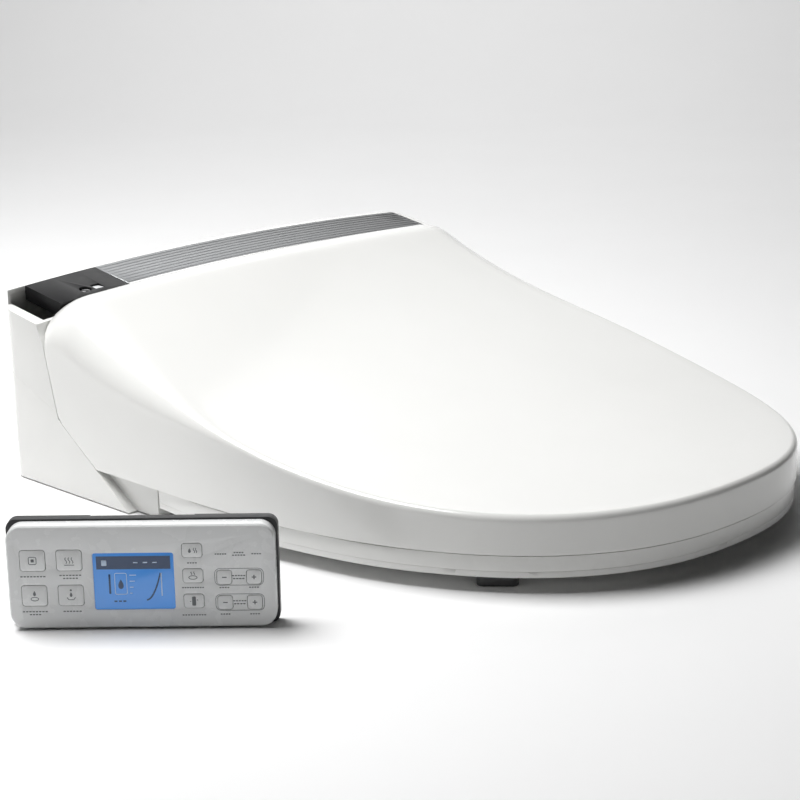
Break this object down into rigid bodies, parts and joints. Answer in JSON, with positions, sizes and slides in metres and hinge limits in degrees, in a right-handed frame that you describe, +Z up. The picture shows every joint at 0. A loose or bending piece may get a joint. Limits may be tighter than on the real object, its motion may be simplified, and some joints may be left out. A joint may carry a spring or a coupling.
{
  "type": "electric bidet seat",
  "caption": "Electric bidet seat with a hinged lid over a heated seat ring, rear case with nozzle, dryer and deodoriser, and a remote in a wall bracket.",
  "frame": {"origin": "midway between the two bowl bolts, on the rim of the bowl, level with the feet of the seat", "axes": "+Z up, +Y from the nose of the seat to the tank, +X to the right seen from the nose"},
  "size_m": [0.5755, 0.507, 0.1408],
  "materials": {
    "white_gloss": "smooth glossy warm white moulding",
    "white_satin": "satin white moulding",
    "trim_metal": "fine lengthwise brushed silver film",
    "dark_gloss": "glossy black",
    "dark_case": "fine textured charcoal",
    "smoke_lens": "smoked infrared window",
    "grey_rubber": "soft matt grey rubber",
    "steel": "turned steel",
    "stainless": "polished stainless tube",
    "heater_foil": "foil with heating wire",
    "tank_plastic": "glass-filled grey plastic",
    "motor_metal": "plated motor can",
    "board_green": "circuit board with solder mask",
    "brass_thread": "machined brass",
    "filter_grey": "grey moulding with carbon slots",
    "lcd_blue": "backlit blue display",
    "clear_window": "clear display window",
    "key_white": "satin white key"
  },
  "bodies": {
    "case": {"base_case": "white_gloss", "top_cover": "white_gloss", "trim_strip": "trim_metal", "sensor_panel": "dark_gloss", "sensor_lens": "smoke_lens", "hinge_dampers": "dark_case", "hinge_shafts": "steel", "nozzle_guide": "white_satin", "nozzle_motor": "motor_metal", "dryer_duct": "tank_plastic", "dryer_heater": "steel", "dryer_motor": "motor_metal", "deodoriser_housing": "tank_plastic", "water_heater": "tank_plastic", "water_pump": "motor_metal", "inlet_valve": "tank_plastic", "water_inlet": "brass_thread", "control_board": "board_green", "power_board": "board_green", "transformer": "motor_metal", "cable_gland": "dark_case", "case_screws": "steel", "wall_bracket": "white_satin"},
    "seat": {"seat_top": "white_gloss", "seat_bottom": "white_satin", "seat_heater": "heater_foil", "seat_feet": "grey_rubber"},
    "lid": {"lid": "white_gloss", "lid_bumpers": "grey_rubber"},
    "nozzle": {"nozzle_tip": "white_satin", "nozzle_arm": "stainless", "nozzle_cover": "white_gloss"},
    "dryer_fan": {"dryer_impeller": "dark_case"},
    "dryer_flap": {"dryer_flap": "white_gloss"},
    "air_fan": {"deodoriser_fan": "dark_case"},
    "filter": {"filter_cartridge": "white_satin"},
    "drain": {"drain_knob": "filter_grey"},
    "release": {"release_button": "white_satin"},
    "power_button": {"power_button": "dark_case"},
    "plate": {"mounting_plate": "white_satin", "bolt_inserts": "filter_grey"},
    "remote": {"remote_back": "dark_case", "remote_front": "white_gloss", "lcd_window": "clear_window", "lcd_display": "lcd_blue", "remote_board": "board_green", "coin_cell": "stainless"},
    "battery_door": {"battery_door": "dark_case"},
    "key_stop": {"key_stop": "key_white"},
    "key_dry": {"key_dry": "key_white"},
    "key_rear_wash": {"key_rear_wash": "key_white"},
    "key_front_wash": {"key_front_wash": "key_white"},
    "key_water_heat": {"key_water_heat": "key_white"},
    "key_seat_heat": {"key_seat_heat": "key_white"},
    "key_air_heat": {"key_air_heat": "key_white"},
    "key_pressure_less": {"key_pressure_less": "key_white"},
    "key_pressure_more": {"key_pressure_more": "key_white"},
    "key_position_less": {"key_position_less": "key_white"},
    "key_position_more": {"key_position_more": "key_white"}
  },
  "joints": [
    {"name": "seat_hinge", "type": "hinge", "parent": "case", "child": "seat", "pos_m": [0, 0.008, 0.12], "axis": [1, 0, 0], "range_deg": [-104, 0]},
    {"name": "lid_hinge", "type": "hinge", "parent": "seat", "child": "lid", "pos_m": [0, 0.008, 0.12], "axis": [-1, 0, 0], "range_deg": [0, 104]},
    {"name": "nozzle_slide", "type": "slide", "parent": "case", "child": "nozzle", "axis": [0, -0.891, -0.454], "range_m": [0, 0.058]},
    {"name": "dryer_fan_spin", "type": "hinge", "parent": "case", "child": "dryer_fan", "pos_m": [-0.082, 0.018, 0.02], "axis": [0, 0, 1], "continuous": true},
    {"name": "dryer_flap_hinge", "type": "hinge", "parent": "case", "child": "dryer_flap", "pos_m": [-0.082, -0.0825, 0.041], "axis": [-1, 0, 0], "range_deg": [0, 75]},
    {"name": "air_fan_spin", "type": "hinge", "parent": "case", "child": "air_fan", "pos_m": [0.12, 0.048, 0.059], "axis": [1, 0, 0], "continuous": true},
    {"name": "filter_slide", "type": "slide", "parent": "case", "child": "filter", "axis": [1, 0, 0], "range_m": [0, 0.055]},
    {"name": "drain_turn", "type": "hinge", "parent": "case", "child": "drain", "pos_m": [0.19, 0.05, 0.02], "axis": [1, 0, 0], "range_deg": [0, 90]},
    {"name": "release_push", "type": "slide", "parent": "case", "child": "release", "axis": [-1, 0, 0], "range_m": [0, 0.004], "stiffness_N_per_m": 800},
    {"name": "power_push", "type": "slide", "parent": "case", "child": "power_button", "axis": [0, 0, -1], "range_m": [0, 0.0006], "stiffness_N_per_m": 600},
    {"name": "plate_slide", "type": "slide", "parent": "case", "child": "plate", "axis": [0, 1, 0], "range_m": [0, 0.06]},
    {"name": "remote_lift", "type": "slide", "parent": "case", "child": "remote", "axis": [0, 0, 1], "range_m": [0, 0.048]},
    {"name": "door_slide", "type": "slide", "parent": "remote", "child": "battery_door", "axis": [0, 0, 1], "range_m": [0, 0.03]},
    {"name": "key_stop_push", "type": "slide", "parent": "remote", "child": "key_stop", "axis": [0.7349, 0.6782, 0], "range_m": [0, 0.0008], "stiffness_N_per_m": 500},
    {"name": "key_dry_push", "type": "slide", "parent": "remote", "child": "key_dry", "axis": [0.7349, 0.6782, 0], "range_m": [0, 0.0008], "stiffness_N_per_m": 500},
    {"name": "key_rear_wash_push", "type": "slide", "parent": "remote", "child": "key_rear_wash", "axis": [0.7349, 0.6782, 0], "range_m": [0, 0.0008], "stiffness_N_per_m": 500},
    {"name": "key_front_wash_push", "type": "slide", "parent": "remote", "child": "key_front_wash", "axis": [0.7349, 0.6782, 0], "range_m": [0, 0.0008], "stiffness_N_per_m": 500},
    {"name": "key_water_heat_push", "type": "slide", "parent": "remote", "child": "key_water_heat", "axis": [0.7349, 0.6782, 0], "range_m": [0, 0.0008], "stiffness_N_per_m": 500},
    {"name": "key_seat_heat_push", "type": "slide", "parent": "remote", "child": "key_seat_heat", "axis": [0.7349, 0.6782, 0], "range_m": [0, 0.0008], "stiffness_N_per_m": 500},
    {"name": "key_air_heat_push", "type": "slide", "parent": "remote", "child": "key_air_heat", "axis": [0.7349, 0.6782, 0], "range_m": [0, 0.0008], "stiffness_N_per_m": 500},
    {"name": "key_pressure_less_push", "type": "slide", "parent": "remote", "child": "key_pressure_less", "axis": [0.7349, 0.6782, 0], "range_m": [0, 0.0008], "stiffness_N_per_m": 500},
    {"name": "key_pressure_more_push", "type": "slide", "parent": "remote", "child": "key_pressure_more", "axis": [0.7349, 0.6782, 0], "range_m": [0, 0.0008], "stiffness_N_per_m": 500},
    {"name": "key_position_less_push", "type": "slide", "parent": "remote", "child": "key_position_less", "axis": [0.7349, 0.6782, 0], "range_m": [0, 0.0008], "stiffness_N_per_m": 500},
    {"name": "key_position_more_push", "type": "slide", "parent": "remote", "child": "key_position_more", "axis": [0.7349, 0.6782, 0], "range_m": [0, 0.0008], "stiffness_N_per_m": 500}
  ]
}
